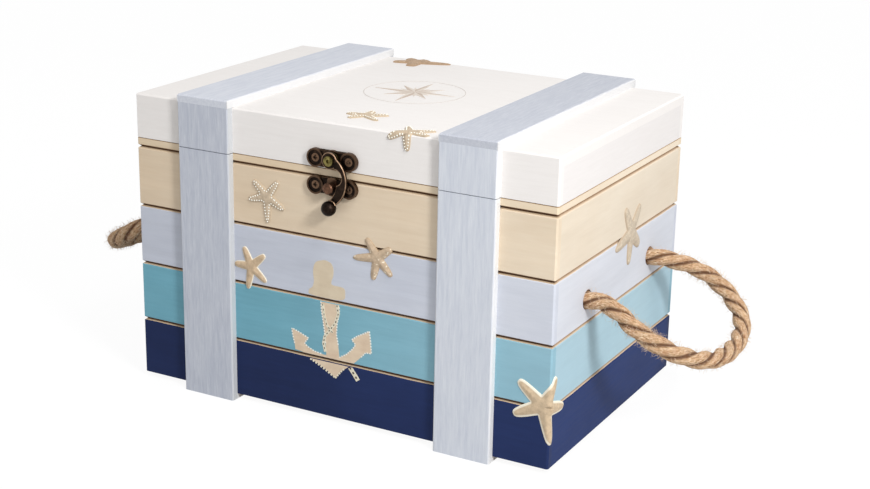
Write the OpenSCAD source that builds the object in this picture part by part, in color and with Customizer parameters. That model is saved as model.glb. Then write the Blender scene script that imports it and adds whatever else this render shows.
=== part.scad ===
// Wooden ditty box: a plank-look body with painted bands, a hinged lid, raised straps,
// a swing-hook latch, butt hinges at the back and a rope handle on each side.
// X is the width, Y the depth with the front at -Y, Z is up from the surface it stands on.

/* [Body] */
// Outside width of the body
box_w = 240; // [200:1:300]
// Outside depth of the body, without the straps
box_d = 156; // [130:1:200]
// Height of the body's boards, from their lower edge to the lid's seam
body_h = 130; // [110:1:180]
// Thickness of the wall boards and the lid's rails
wall_t = 8; // [6:0.5:12]
// Thickness of the front and back boards that laps over the ends of the side boards
lap_t = 4; // [2:0.5:5]
// Thickness of the bottom panel, which lies in a rebate of the walls
bottom_t = 4; // [3:0.5:5]
// Depth of the rebate that the bottom panel lies in
bottom_lap = 4; // [2:0.5:5]
// Bevel on the outer edges of the boards
edge_bevel = 0.8; // [0.3:0.1:1.5]

/* [Plank grooves] */
// Height of the lowest groove above the lower edge of the boards
groove_first = 30.5; // [20:0.5:45]
// Distance from one groove to the next
groove_pitch = 31.7; // [20:0.1:32]
// Number of grooves round the body
groove_count = 4; // [1:1:4]
// Width of a groove at the surface
groove_w = 2.4; // [1:0.1:4]
// Depth of a groove
groove_deep = 1.6; // [0.5:0.1:3]

/* [Lid] */
// Height of the lid, from its lower edge to its top face
lid_h = 23.1; // [18:0.1:40]
// Thickness of the lid's top panel
lid_panel_t = 5; // [3:0.5:8]
// Gap between the lid and the body when the lid is shut
seam_gap = 0.4; // [0.2:0.1:0.8]

/* [Straps and feet] */
// Width of a strap
strap_w = 31; // [20:0.5:45]
// Thickness of a strap
strap_t = 4; // [2.5:0.5:7]
// Distance from the side of the box to the nearer edge of a strap
strap_inset = 29.5; // [15:0.5:40]
// Bevel along the edges of a strap
strap_bevel = 0.7; // [0.3:0.1:1.2]
// Height of the runners under the box
foot_h = 3; // [2:0.5:8]

/* [Latch] */
// Length of each latch plate
plate_l = 28.4; // [24:0.1:34]
// Height of each latch plate
plate_h = 9.4; // [8:0.1:12]
// Thickness of each latch plate
plate_t = 1.6; // [0.8:0.1:1.8]
// Height of the raised rim round each screw
rim_h = 0.5; // [0.2:0.1:0.6]
// Width of that rim
rim_w = 0.9; // [0.5:0.1:1.2]
// Height of the hook plate's centre above the lid's lower edge
hook_plate_up = 5.1; // [5:0.1:7]
// Distance of the catch plate's centre below the top of the body
catch_plate_down = 8.2; // [6:0.1:10]
// Radius of the catch pin's shank
catch_r = 2.3; // [1.5:0.1:2.6]
// Radius of the catch pin's head
catch_head_r = 2.9; // [2.4:0.1:3.2]
// Radius of the rivet that the hook turns on
rivet_r = 1.6; // [1.2:0.1:2]
// Thickness of the hook
hook_t = 1.8; // [1.2:0.1:2.4]
// Outer radius of the hook's crescent
hook_out_r = 14.2; // [13.8:0.1:14.6]
// Inner radius of the hook's crescent
hook_in_r = 13.4; // [13.1:0.1:13.7]
// Widest metal of the crescent
hook_band = 5.5; // [5:0.1:5.8]
// Radius of the notch in the crescent above the catch pin
hook_notch_r = 4; // [3.5:0.1:4.3]
// Radius of the hook's eye round the rivet
hook_eye_r = 4.3; // [3.6:0.1:4.6]
// Radius of the hook's thumb knob
knob_r = 3.75; // [3:0.05:4]

/* [Hinges] */
// Width of a hinge along the seam
hinge_w = 24; // [16:0.5:28]
// Height of one leaf from the pin's centre
leaf_h = 11.5; // [9:0.5:14]
// Thickness of a leaf
leaf_t = 1; // [0.7:0.1:1.4]
// Outer radius of the knuckles
knuckle_r = 2.2; // [1.9:0.1:3]
// Radius of the hinge pin
hinge_pin_r = 1.1; // [0.8:0.05:1.4]
// Number of knuckles on a hinge
knuckle_count = 3; // [3:2:7]

/* [Screws] */
// Radius of a screw's shank
screw_r = 1.1; // [0.8:0.1:1.3]
// Radius of a screw's countersunk head
screw_head_r = 2.1; // [1.8:0.1:2.5]
// Length of the screws of the latch plates
latch_screw_l = 6; // [4:0.5:8]
// Length of the screws of the hinges
hinge_screw_l = 7; // [5.5:0.5:9]

/* [Rope handles] */
// Diameter of the rope
rope_d = 9; // [6:0.5:10]
// Height of the rope's holes above the lower edge of the boards
rope_up = 74.5; // [40:0.5:100]
// Distance between the two holes of one handle
rope_span = 80; // [60:1:100]
// Length of rope outside the wall that stays straight
rope_stub = 5; // [3:0.5:8]
// Radius of the stopper knot inside the wall
rope_knot_r = 9; // [7:0.5:12]
// Length of the rope's tail past its knot
rope_tail = 8; // [4:1:14]

/* [Starfish] */
// Thickness of the starfish ornaments
star_t = 1.2; // [0.8:0.1:2]
// Usual reach of the arms of a small starfish from its middle
star_r = 11.5; // [9:0.5:14]
// Usual reach of the arms of a large starfish
big_star_r = 17.5; // [12:0.5:20]
// Reach of a starfish's body between its arms, as a share of the arms' reach
star_waist = 0.3; // [0.2:0.02:0.45]

/* [Hidden] */
$fn = 64;
eps = 0.5;
LEFT = -1;
RIGHT = 1;
FRONT = -1;
BACK = 1;

// Running clearance of a pin in its bore, and of a screw in its hole
pin_gap = 0.05;
screw_gap = 0.05;
// Gap between faces of parts that move past each other
run_gap = 0.3;
rope_gap = 0.5;

half_w = box_w / 2;
half_d = box_d / 2;
body_z = foot_h;
seam_z = body_z + body_h;
lid_z = seam_z + seam_gap;
lid_top = lid_z + lid_h;
panel_z = lid_top - lid_panel_t;
strap_x = half_w - strap_inset - strap_w / 2;
strap_y = half_d + strap_t;

hook_plate_z = lid_z + hook_plate_up;
catch_z = seam_z - catch_plate_down;
plate_y = -half_d - plate_t;
boss_h = 0.9;
hook_y = plate_y - boss_h - hook_t;
rivet_head_t = 0.9;
rivet_head_r = rivet_r + 0.9;
catch_head_t = 1.2;
hook_mid_down = 10;
hook_mid_left = 4.5;
hook_notch_down = 7.9;
hook_notch_right = 3;
hook_knob_down = hook_mid_down + hook_out_r - 0.7;
hook_knob_right = 0.6;
knob_sink = 0.8;

hinge_y = strap_y + knuckle_r + run_gap;
hinge_z = seam_z + seam_gap / 2;
knuckle_gap = 0.2;
leaf_screw_up = leaf_h - 4.2;
leaf_screw_x = hinge_w / 4 + 1.5;
screw_head_h = screw_head_r - screw_r;
slot_w = 0.6;
slot_deep = 0.6;

rope_z = body_z + rope_up;
rope_r = rope_d / 2;
rope_hole_r = rope_r + rope_gap;

strap_in = strap_x - strap_w / 2;
function groove_z(i) = body_z + groove_first + i * groove_pitch;

// The arms of each kind of starfish: [angle, share of the usual reach]
arms_plain = [[41, 0.98], [114, 0.95], [181, 0.9], [260, 1.12], [322, 1.02]];
arms_beaded = [[52, 1], [137, 0.96], [194, 1], [272, 1.2], [332, 1.02]];
arms_speckled = [[36, 0.85], [125, 0.96], [189, 1.22], [259, 1.06], [315, 1.03]];
arms_corner = [[59, 0.94], [142, 0.98], [205, 1], [283, 1.18], [347, 1.06]];
arms_side = [[49, 0.93], [123, 0.99], [193, 1.18], [264, 0.98], [320, 0.87]];
arms_lid = [[28, 1.03], [94, 0.8], [185, 0.9], [242, 0.87], [328, 1.1]];
arms_front_edge = [[35, 1.05], [110, 0.95], [192, 0.95], [272, 1], [345, 1.05]];
arms_back_edge = [[15, 1.14], [75, 0.75], [142, 0.65], [203, 0.79], [278, 0.66]];

// The starfish on the front: [across from the middle, height, reach, arms]
front_stars = [
    [-strap_in + 20.4, groove_z(2) + 16.7, star_r, arms_beaded],
    [-strap_in + 10.2, groove_z(1) + 10, star_r, arms_plain],
    [strap_in - 34.5, groove_z(2) - 4.2, star_r, arms_speckled]
];
corner_star_in = 3.3;
corner_star_up = 1.7;
side_star_back = 12.5;
side_star_up = 0.7;
lid_star_x = 5;
lid_star_in = 21.3;
edge_star_x = strap_in - 19.1;
edge_star_in = 3.3;
back_star_x = -strap_in + 21.7;
back_star_in = 7;

plank_colours = ["#2a355f", "#73acbc", "#c6cddc", "#d7c2a6"];
strap_colour = "#bec5d4";
lid_colour = "#ebe7e3";
bronze = "#3a2c24";
rope_colour = "#cda578";
star_colour = "#d6c7b0";
wood_colour = "#cfae86";

// Route of a handle's free rope from its straight stub to its middle, chosen by hand:
// [out from the wall, along Y from the handle's middle, up from the hole]
rope_half = [
    [12, 41.2, -0.6], [18.5, 44.2, -2.4], [25, 47, -5.2], [31.5, 48.3, -8.6],
    [38, 47.3, -12.2], [44.2, 44.3, -15.8], [49.8, 39.3, -19.2], [54.2, 32.8, -22.1],
    [57.3, 25.2, -24.4], [59.2, 16.9, -26], [60.1, 8.4, -27], [60.4, 0, -27.3]
];
rope_sides = 10;

// One groove's section, with its point in the wood: X is the depth, Y the height
module groove_section() {
    slope = groove_w / 2 / groove_deep;
    polygon([[groove_deep, 0], [-eps, slope * (groove_deep + eps)], [-eps, -slope * (groove_deep + eps)]]);
}

// A groove along one face, running along X with the wood towards +Y
module face_groove(length) {
    translate([-length / 2, 0, 0]) rotate([90, 0, 90]) linear_extrude(length) groove_section();
}

// All grooves, on all four faces of the body
module grooves() {
    for (i = [0 : groove_count - 1]) {
        translate([0, 0, groove_z(i)]) {
            for (turn = [0, 180]) {
                rotate(turn) translate([0, -half_d, 0]) face_groove(box_w + 2 * eps);
                rotate(turn + 90) translate([0, -half_w, 0]) face_groove(box_d + 2 * eps);
            }
        }
    }
}

// The bevel cut along the four upright corners of the box
module corner_bevels(z0, h) {
    for (x = [LEFT, RIGHT], y = [FRONT, BACK]) {
        translate([x * half_w, y * half_d, z0 - eps]) rotate(45)
            translate([-edge_bevel, -edge_bevel, 0] / sqrt(2))
                cube([2 * edge_bevel / sqrt(2), 2 * edge_bevel / sqrt(2), h + 2 * eps]);
    }
}

// A board across the front or back, rebated at its ends over the side boards
module long_board(side, z0, h) {
    difference() {
        translate([-half_w, side * half_d - (side > 0 ? wall_t : 0), z0]) cube([box_w, wall_t, h]);
        for (x = [LEFT, RIGHT]) {
            translate([x * (half_w - wall_t / 2), side * (half_d - lap_t - wall_t / 2), z0 + h / 2])
                cube([wall_t, wall_t, h + 2 * eps], center = true);
        }
        corner_bevels(z0, h);
    }
}

// A side board between the rebates of the front and back boards
module side_board(side, z0, h) {
    translate([side * (half_w - wall_t / 2), 0, z0 + h / 2])
        cube([wall_t, box_d - 2 * lap_t, h], center = true);
}

// The space of the bottom panel, which is also the rebate cut in the walls
module bottom_space(extra) {
    inner_w = box_w - 2 * (wall_t - bottom_lap);
    inner_d = box_d - 2 * (wall_t - bottom_lap);
    translate([-inner_w / 2, -inner_d / 2, body_z - extra]) cube([inner_w, inner_d, bottom_t + extra]);
}

// A countersunk wood screw, its head's top at the origin and its point towards -Z
module screw(length) {
    difference() {
        union() {
            translate([0, 0, -screw_head_h]) cylinder(h = screw_head_h, r1 = screw_r, r2 = screw_head_r);
            translate([0, 0, -length + screw_r]) cylinder(h = length - screw_r - screw_head_h + 0.01, r = screw_r);
            translate([0, 0, -length]) cylinder(h = screw_r, r1 = 0.2, r2 = screw_r);
        }
        for (turn = [0, 90]) {
            rotate(turn) cube([screw_head_r * 1.2, slot_w, 2 * slot_deep], center = true);
        }
    }
}

// The hole that a screw sits in
module screw_hole(length) {
    translate([0, 0, -screw_head_h - screw_gap])
        cylinder(h = screw_head_h + screw_gap + 0.01, r1 = screw_r + screw_gap, r2 = screw_head_r + 2 * screw_gap);
    translate([0, 0, -length - screw_gap]) cylinder(h = length + screw_gap, r = screw_r + screw_gap);
    translate([0, 0, -0.01]) cylinder(h = eps, r = screw_head_r + 2 * screw_gap);
}

// Places of the two screws in each latch plate, on the front
module at_latch_screws(z) {
    for (x = [LEFT, RIGHT]) {
        translate([x * (plate_l - plate_h) / 2, plate_y, z]) rotate([90, 0, 0]) children();
    }
}

// Places of the two screws in each hinge leaf; up is 1 on the lid and -1 on the body
module at_hinge_screws(side, up) {
    for (x = [LEFT, RIGHT]) {
        translate([side * strap_x + x * leaf_screw_x, strap_y + leaf_t, hinge_z + up * leaf_screw_up])
            rotate([-90, 0, 0]) children();
    }
}

module front_wall() {
    difference() {
        long_board(FRONT, body_z, body_h);
        grooves();
        bottom_space(eps);
        at_latch_screws(catch_z) screw_hole(latch_screw_l);
    }
}

module back_wall() {
    difference() {
        long_board(BACK, body_z, body_h);
        grooves();
        bottom_space(eps);
        for (side = [LEFT, RIGHT]) {
            at_hinge_screws(side, -1) screw_hole(hinge_screw_l);
        }
    }
}

module side_wall(side) {
    difference() {
        side_board(side, body_z, body_h);
        grooves();
        bottom_space(eps);
        for (y = [FRONT, BACK]) {
            translate([side * half_w, y * rope_span / 2, rope_z]) rotate([0, 90, 0])
                cylinder(h = 3 * wall_t, r = rope_hole_r, center = true);
        }
    }
}

// A strap's section: X is its width, Y its thickness out from the box
module strap_section() {
    x = strap_w / 2;
    polygon([
        [-x, 0], [x, 0], [x, strap_t - strap_bevel], [x - strap_bevel, strap_t],
        [-x + strap_bevel, strap_t], [-x, strap_t - strap_bevel]
    ]);
}

// An upright strap on the front or back
module upright_strap(side, face, z0, h) {
    translate([side * strap_x, face * half_d, z0]) linear_extrude(h)
        rotate(face > 0 ? 0 : 180) strap_section();
}

module front_strap(side) {
    upright_strap(side, FRONT, 0, seam_z);
}

module back_strap(side) {
    difference() {
        upright_strap(side, BACK, 0, seam_z);
        at_hinge_screws(side, -1) screw_hole(hinge_screw_l);
    }
}

module lid_back_strap(side) {
    difference() {
        upright_strap(side, BACK, lid_z, lid_h);
        at_hinge_screws(side, 1) screw_hole(hinge_screw_l);
    }
}

// The strap over the lid, with its ends flush with the upright straps
module top_strap(side) {
    difference() {
        translate([side * strap_x, strap_y, lid_top]) rotate([90, 0, 0])
            linear_extrude(2 * strap_y) strap_section();
        for (y = [FRONT, BACK]) {
            translate([side * strap_x, y * strap_y, lid_top + strap_t]) rotate([45, 0, 0])
                cube([strap_w + 2 * eps, strap_bevel * sqrt(2), strap_bevel * sqrt(2)], center = true);
        }
    }
}

module foot_runner(side) {
    translate([side * strap_x, 0, foot_h / 2]) cube([strap_w, box_d, foot_h], center = true);
}

module lid_panel() {
    difference() {
        translate([-half_w, -half_d, panel_z]) cube([box_w, box_d, lid_panel_t]);
        corner_bevels(panel_z, lid_panel_t);
        for (turn = [0, 180]) {
            rotate(turn) translate([0, -half_d, lid_top]) rotate([45, 0, 0])
                cube([box_w + 2, edge_bevel * sqrt(2), edge_bevel * sqrt(2)], center = true);
            rotate(turn) translate([half_w, 0, lid_top]) rotate([0, 45, 0])
                cube([edge_bevel * sqrt(2), box_d + 2, edge_bevel * sqrt(2)], center = true);
        }
    }
}

module lid_rail(face) {
    difference() {
        long_board(face, lid_z, lid_h - lid_panel_t);
        if (face == FRONT) {
            at_latch_screws(hook_plate_z) screw_hole(latch_screw_l);
        }
        if (face == BACK) {
            for (side = [LEFT, RIGHT]) {
                at_hinge_screws(side, 1) screw_hole(hinge_screw_l);
            }
        }
    }
}

// A latch plate's outline: two round ends and a rounder middle, joined by a narrower bar
module plate_outline() {
    end_r = plate_h / 2;
    for (x = [LEFT, RIGHT]) {
        translate([x * (plate_l / 2 - end_r), 0]) circle(end_r);
    }
    circle(end_r);
    square([plate_l - 2 * end_r, plate_h * 0.8], center = true);
}

// A plate on the front, centred at the height z, with a raised rim round each screw
module latch_plate(z) {
    end_r = plate_h / 2;
    difference() {
        translate([0, -half_d, z]) rotate([90, 0, 0]) {
            linear_extrude(plate_t) plate_outline();
            for (x = [LEFT, RIGHT]) {
                translate([x * (plate_l / 2 - end_r), 0, 0]) difference() {
                    cylinder(h = plate_t + rim_h, r = end_r);
                    translate([0, 0, plate_t]) cylinder(h = 2 * rim_h, r = end_r - rim_w);
                }
            }
        }
        at_latch_screws(z) screw_hole(latch_screw_l);
    }
}

// The headed pin that the hook catches, riveted to its plate
module catch_pin() {
    reach = boss_h + hook_t + run_gap;
    translate([0, plate_y, catch_z]) rotate([90, 0, 0]) {
        cylinder(h = reach, r = catch_r);
        translate([0, 0, reach]) cylinder(h = catch_head_t * 0.4, r1 = catch_r, r2 = catch_head_r);
        translate([0, 0, reach + catch_head_t * 0.4]) cylinder(h = catch_head_t * 0.6, r = catch_head_r);
    }
}

// The rivet that the hook turns on: a boss on the plate, a shank and a hollow head
module hook_rivet() {
    reach = boss_h + hook_t + 2 * pin_gap;
    translate([0, plate_y, hook_plate_z]) rotate([90, 0, 0]) difference() {
        union() {
            cylinder(h = boss_h - pin_gap, r = hook_eye_r - 0.4);
            cylinder(h = reach, r = rivet_r);
            translate([0, 0, reach]) cylinder(h = rivet_head_t, r = rivet_head_r);
        }
        translate([0, 0, reach]) cylinder(h = rivet_head_t + eps, r = rivet_r * 0.6);
    }
}

// The hook's outline seen from the front, with its rivet at the origin: an eye and a crescent
// that is widest beside the catch pin, with a notch above the pin
module hook_outline() {
    inner_left = hook_mid_left + hook_in_r + hook_band - hook_out_r;
    circle(hook_eye_r);
    difference() {
        intersection() {
            translate([-hook_mid_left, -hook_mid_down]) circle(hook_out_r);
            translate([0, -2 * hook_out_r]) square([2 * hook_out_r, 3 * hook_out_r]);
        }
        translate([-inner_left, -hook_mid_down]) circle(hook_in_r);
        translate([hook_notch_right, -hook_notch_down]) circle(hook_notch_r);
    }
}

module latch_hook() {
    translate([0, 0, hook_plate_z]) difference() {
        union() {
            translate([0, hook_y + hook_t, 0]) rotate([90, 0, 0]) linear_extrude(hook_t) hook_outline();
            translate([hook_knob_right, hook_y + hook_t + knob_sink - knob_r, -hook_knob_down]) sphere(knob_r);
        }
        rotate([90, 0, 0]) cylinder(h = 4 * half_d, r = rivet_r + pin_gap, center = true);
    }
}

// The span of knuckle i along X, measured from the hinge's middle
function knuckle_x(i) = -hinge_w / 2 + i * hinge_w / knuckle_count;

// One leaf of a hinge with its knuckles; up is 1 on the lid and -1 on the body
module hinge_leaf(side, up) {
    own = up > 0 ? 1 : 0;
    pitch = hinge_w / knuckle_count;
    clear = knuckle_r + run_gap;
    translate([side * strap_x, hinge_y, hinge_z]) difference() {
        union() {
            translate([-hinge_w / 2, strap_y - hinge_y, up > 0 ? clear : -leaf_h])
                cube([hinge_w, leaf_t, leaf_h - clear]);
            for (i = [own : 2 : knuckle_count - 1]) {
                translate([knuckle_x(i) + knuckle_gap / 2, 0, 0]) {
                    rotate([0, 90, 0]) cylinder(h = pitch - knuckle_gap, r = knuckle_r);
                    translate([0, strap_y - hinge_y, up > 0 ? 0.6 : -clear - 0.1])
                        cube([pitch - knuckle_gap, leaf_t, clear - 0.5]);
                }
            }
        }
        rotate([0, 90, 0]) cylinder(h = 2 * hinge_w, r = hinge_pin_r + pin_gap, center = true);
        translate([-side * strap_x, -hinge_y, -hinge_z]) at_hinge_screws(side, up) screw_hole(hinge_screw_l);
    }
}

module hinge_pins() {
    head = 0.8;
    for (side = [LEFT, RIGHT]) {
        translate([side * strap_x, hinge_y, hinge_z]) rotate([0, 90, 0]) {
            cylinder(h = hinge_w + 2 * pin_gap, r = hinge_pin_r, center = true);
            for (end = [LEFT, RIGHT]) {
                translate([0, 0, end * (hinge_w / 2 + pin_gap + head / 2)])
                    cylinder(h = head, r = knuckle_r * 0.8, center = true);
            }
        }
    }
}

// The fixed ends of one handle's rope: a straight stub through the wall, the stopper knot and a tail
module rope_ends(side) {
    inner = half_w - wall_t;
    for (y = [FRONT, BACK]) {
        translate([side * inner, y * rope_span / 2, rope_z]) rotate([0, side * 90, 0]) {
            translate([0, 0, -rope_knot_r]) cylinder(h = rope_knot_r + wall_t + rope_stub, r = rope_r);
            translate([0, 0, -rope_knot_r - 0.2]) sphere(rope_knot_r);
            translate([0, 0, -2 * rope_knot_r - rope_tail]) cylinder(h = rope_knot_r + rope_tail, r = rope_r);
        }
    }
}

// The whole route of one handle's free rope, seen from the wall's outer face
function mirrored(p) = [p[0], -p[1], p[2]];
rope_start = [rope_stub + run_gap, rope_span / 2, 0];
rope_route = concat(
    [rope_start], rope_half,
    [for (i = [len(rope_half) - 2 : -1 : 0]) mirrored(rope_half[i])],
    [mirrored(rope_start)]
);

function unit(v) = v / norm(v);
function heading(path, i) = i == 0 || i == len(path) - 1
    ? [i == 0 ? 1 : -1, 0, 0]
    : unit(path[i + 1] - path[i - 1]);

// One ring of points round a path's point, square to its heading
function ring(path, i, r, sides) =
    let (t = heading(path, i), a = unit(cross(t, [0, 0.3, 1])), b = cross(t, a))
    [for (s = [0 : sides - 1]) path[i] + r * (cos(360 * s / sides) * a + sin(360 * s / sides) * b)];

// A closed tube along a path
module tube(path, r, sides) {
    n = len(path);
    points = [for (i = [0 : n - 1]) each ring(path, i, r, sides)];
    walls = [for (i = [0 : n - 2], s = [0 : sides - 1]) let (u = (s + 1) % sides)
        each [
            [i * sides + s, i * sides + u, (i + 1) * sides + u],
            [i * sides + s, (i + 1) * sides + u, (i + 1) * sides + s]
        ]];
    first = [for (s = [sides - 1 : -1 : 0]) s];
    last = [for (s = [0 : sides - 1]) (n - 1) * sides + s];
    polyhedron(points, concat(walls, [first, last]));
}

module rope_handle(side) {
    translate([side * half_w, 0, rope_z]) mirror([side > 0 ? 0 : 1, 0, 0])
        tube(rope_route, rope_r, rope_sides);
}

// A starfish's outline, with its arms given as [angle, share of the reach] in turning order
module starfish_outline(reach, arms) {
    tip = 0.9;
    steps = 10;
    count = len(arms);
    points = [for (i = [0 : count - 1], s = [0 : steps - 1])
        let (from = arms[i], last = i == count - 1, to = arms[last ? 0 : i + 1],
            end = to[0] + (last ? 360 : 0), along = s / steps,
            share = along < 0.5 ? from[1] : to[1],
            near = min(abs(2 * along - 1), tip) / tip,
            r = reach * (star_waist + (share - star_waist) * pow(near, 1.6)),
            a = from[0] + (end - from[0]) * along)
        [r * cos(a), r * sin(a)]];
    polygon(points);
}

module starfish_front() {
    for (star = front_stars) {
        translate([star[0], -half_d, star[1]]) rotate([90, 0, 0])
            linear_extrude(star_t) starfish_outline(star[2], star[3]);
    }
}

// A starfish bent round the front right corner: each face shows its own part of the outline
module starfish_corner() {
    height = groove_z(0) + corner_star_up;
    intersection() {
        translate([half_w - corner_star_in, -half_d, height]) rotate([90, 0, 0])
            linear_extrude(star_t) starfish_outline(big_star_r, arms_corner);
        translate([0, -half_d - 2 * star_t, 0]) cube([half_w + star_t, 4 * star_t, seam_z]);
    }
    intersection() {
        translate([half_w, -half_d - corner_star_in, height]) rotate([90, 0, 90])
            linear_extrude(star_t) starfish_outline(big_star_r, arms_corner);
        translate([half_w - star_t, -half_d - star_t, 0]) cube([4 * star_t, box_d, seam_z]);
    }
}

module starfish_side() {
    translate([half_w, side_star_back, groove_z(2) + side_star_up]) rotate([90, 0, 90])
        linear_extrude(star_t) starfish_outline(big_star_r, arms_side);
}

module starfish_lid() {
    translate([lid_star_x, -half_d + lid_star_in, lid_top]) linear_extrude(star_t)
        starfish_outline(star_r, arms_lid);
}

// A starfish bent over the lid's front or back edge, with its middle that far inside the edge
module bent_lid_starfish(face, x, inside, reach, arms) {
    mirror([0, face > 0 ? 1 : 0, 0]) {
        intersection() {
            translate([x, -half_d + inside, lid_top]) linear_extrude(star_t)
                mirror([0, face > 0 ? 1 : 0, 0]) starfish_outline(reach, arms);
            translate([-half_w, -half_d - star_t, lid_top - star_t]) cube([box_w, box_d, 3 * star_t]);
        }
        intersection() {
            translate([x, -half_d, lid_top + inside]) rotate([90, 0, 0]) linear_extrude(star_t)
                mirror([0, face > 0 ? 1 : 0, 0]) starfish_outline(reach, arms);
            translate([-half_w, -half_d - 2 * star_t, lid_z]) cube([box_w, 4 * star_t, lid_h + star_t]);
        }
    }
}

module starfish_lid_edge() {
    bent_lid_starfish(FRONT, edge_star_x, edge_star_in, star_r, arms_front_edge);
    bent_lid_starfish(BACK, back_star_x, back_star_in, big_star_r, arms_back_edge);
}

color(plank_colours[2]) front_wall();
color(plank_colours[2]) back_wall();
color(plank_colours[1]) side_wall(LEFT);  // left_wall
color(plank_colours[1]) side_wall(RIGHT);  // right_wall
color(wood_colour) bottom_space(0);  // bottom_panel
color(strap_colour) front_strap(LEFT);  // front_strap_left
color(strap_colour) front_strap(RIGHT);  // front_strap_right
color(strap_colour) back_strap(LEFT);  // back_strap_left
color(strap_colour) back_strap(RIGHT);  // back_strap_right
color(strap_colour) foot_runner(LEFT);  // foot_runner_left
color(strap_colour) foot_runner(RIGHT);  // foot_runner_right
color(bronze) latch_plate(catch_z);  // catch_plate
color(bronze) catch_pin();
color(bronze) at_latch_screws(catch_z) screw(latch_screw_l);  // catch_screws
color(bronze) hinge_leaf(LEFT, -1);  // hinge_leaf_base_left
color(bronze) hinge_leaf(RIGHT, -1);  // hinge_leaf_base_right
color(bronze) hinge_pins();
color(bronze) {  // hinge_screws_base
    for (side = [LEFT, RIGHT]) {
        at_hinge_screws(side, -1) screw(hinge_screw_l);
    }
}
color(rope_colour) rope_ends(LEFT);  // rope_ends_left
color(rope_colour) rope_ends(RIGHT);  // rope_ends_right
color(star_colour) starfish_front();
color(star_colour) starfish_corner();
color(star_colour) starfish_side();
color(lid_colour) lid_panel();
color(lid_colour) lid_rail(FRONT);  // lid_front_rail
color(lid_colour) lid_rail(BACK);  // lid_back_rail
color(lid_colour) side_board(LEFT, lid_z, lid_h - lid_panel_t);  // lid_left_rail
color(lid_colour) side_board(RIGHT, lid_z, lid_h - lid_panel_t);  // lid_right_rail
color(strap_colour) upright_strap(LEFT, FRONT, lid_z, lid_h);  // lid_front_strap_left
color(strap_colour) upright_strap(RIGHT, FRONT, lid_z, lid_h);  // lid_front_strap_right
color(strap_colour) top_strap(LEFT);  // lid_top_strap_left
color(strap_colour) top_strap(RIGHT);  // lid_top_strap_right
color(strap_colour) lid_back_strap(LEFT);  // lid_back_strap_left
color(strap_colour) lid_back_strap(RIGHT);  // lid_back_strap_right
color(bronze) hinge_leaf(LEFT, 1);  // hinge_leaf_lid_left
color(bronze) hinge_leaf(RIGHT, 1);  // hinge_leaf_lid_right
color(bronze) {  // hinge_screws_lid
    for (side = [LEFT, RIGHT]) {
        at_hinge_screws(side, 1) screw(hinge_screw_l);
    }
}
color(bronze) latch_plate(hook_plate_z);  // hook_plate
color(bronze) {  // hook_plate_screws
    at_latch_screws(hook_plate_z) screw(latch_screw_l);
}
color(bronze) hook_rivet();
color(star_colour) starfish_lid();
color(star_colour) starfish_lid_edge();
color(bronze) latch_hook();
color(rope_colour) rope_handle(LEFT);  // rope_handle_left
color(rope_colour) rope_handle(RIGHT);  // rope_handle_right
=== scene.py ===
"""A painted wooden ditty box in Blender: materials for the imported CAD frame, and the rope handles,
knots, starfish and painted ornaments that stand for or lie on its solids.

Lengths are written in millimetres and turned into metres where a mesh is made. X runs to the right,
Y to the back and Z up, with the floor at Z = 0.
"""
import math

import bmesh
import bpy
import numpy as np
from mathutils import Matrix, Vector


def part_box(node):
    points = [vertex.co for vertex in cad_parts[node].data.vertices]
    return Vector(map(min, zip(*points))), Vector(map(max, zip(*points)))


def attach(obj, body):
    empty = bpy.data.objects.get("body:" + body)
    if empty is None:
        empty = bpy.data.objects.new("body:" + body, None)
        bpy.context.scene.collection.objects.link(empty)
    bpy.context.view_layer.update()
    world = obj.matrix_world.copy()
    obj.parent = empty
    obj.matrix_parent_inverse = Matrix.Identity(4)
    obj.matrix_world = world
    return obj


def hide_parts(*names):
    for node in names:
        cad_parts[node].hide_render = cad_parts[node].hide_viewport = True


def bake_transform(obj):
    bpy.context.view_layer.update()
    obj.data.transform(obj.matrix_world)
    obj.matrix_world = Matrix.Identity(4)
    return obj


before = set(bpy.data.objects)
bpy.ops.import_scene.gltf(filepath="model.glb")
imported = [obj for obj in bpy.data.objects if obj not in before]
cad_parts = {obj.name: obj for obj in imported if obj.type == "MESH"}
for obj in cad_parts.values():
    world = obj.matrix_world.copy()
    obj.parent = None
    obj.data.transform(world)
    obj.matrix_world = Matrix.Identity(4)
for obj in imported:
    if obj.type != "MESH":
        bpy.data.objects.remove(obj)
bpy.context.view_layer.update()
MM = 0.001
SAME_POINT = 0.001 * MM

# Sizes that the frame gives
body_low, body_high = (np.array(corner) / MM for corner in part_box("front_wall"))
HALF_W = body_high[0]
HALF_D = -body_low[1]
BODY_Z = body_low[2]
SEAM_Z = body_high[2]
LID_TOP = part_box("lid_panel")[1][2] / MM
WALL = (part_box("right_wall")[1][0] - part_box("right_wall")[0][0]) / MM
STRAP_LOW, STRAP_HIGH = (np.array(corner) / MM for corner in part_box("front_strap_right"))
STRAP_X = (STRAP_LOW[0] + STRAP_HIGH[0]) / 2
STRAP_W = STRAP_HIGH[0] - STRAP_LOW[0]
STRAP_IN = STRAP_LOW[0]
HOOK_PLATE = [np.array(corner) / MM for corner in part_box("hook_plate")]
CATCH_PLATE = [np.array(corner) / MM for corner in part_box("catch_plate")]

# Sizes repeated from the part's source
GROOVE_FIRST = 30.5
GROOVE_PITCH = 31.7
GROOVE_HALF_W = 1.2
GROOVE_DEPTH = 1.6
STAR_R = 11.5
BIG_STAR_R = 17.5
ROPE_D = 9
HOLE_Y = 40
HOLE_Z = 77.5


def groove_z(index):
    """Height of a groove's middle, counted from the bottom."""
    return BODY_Z + GROOVE_FIRST + index * GROOVE_PITCH


# Meshes
def add_object(name, data):
    """A new object in the scene."""
    piece = bpy.data.objects.new(name, data)
    bpy.context.scene.collection.objects.link(piece)
    return piece


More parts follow.
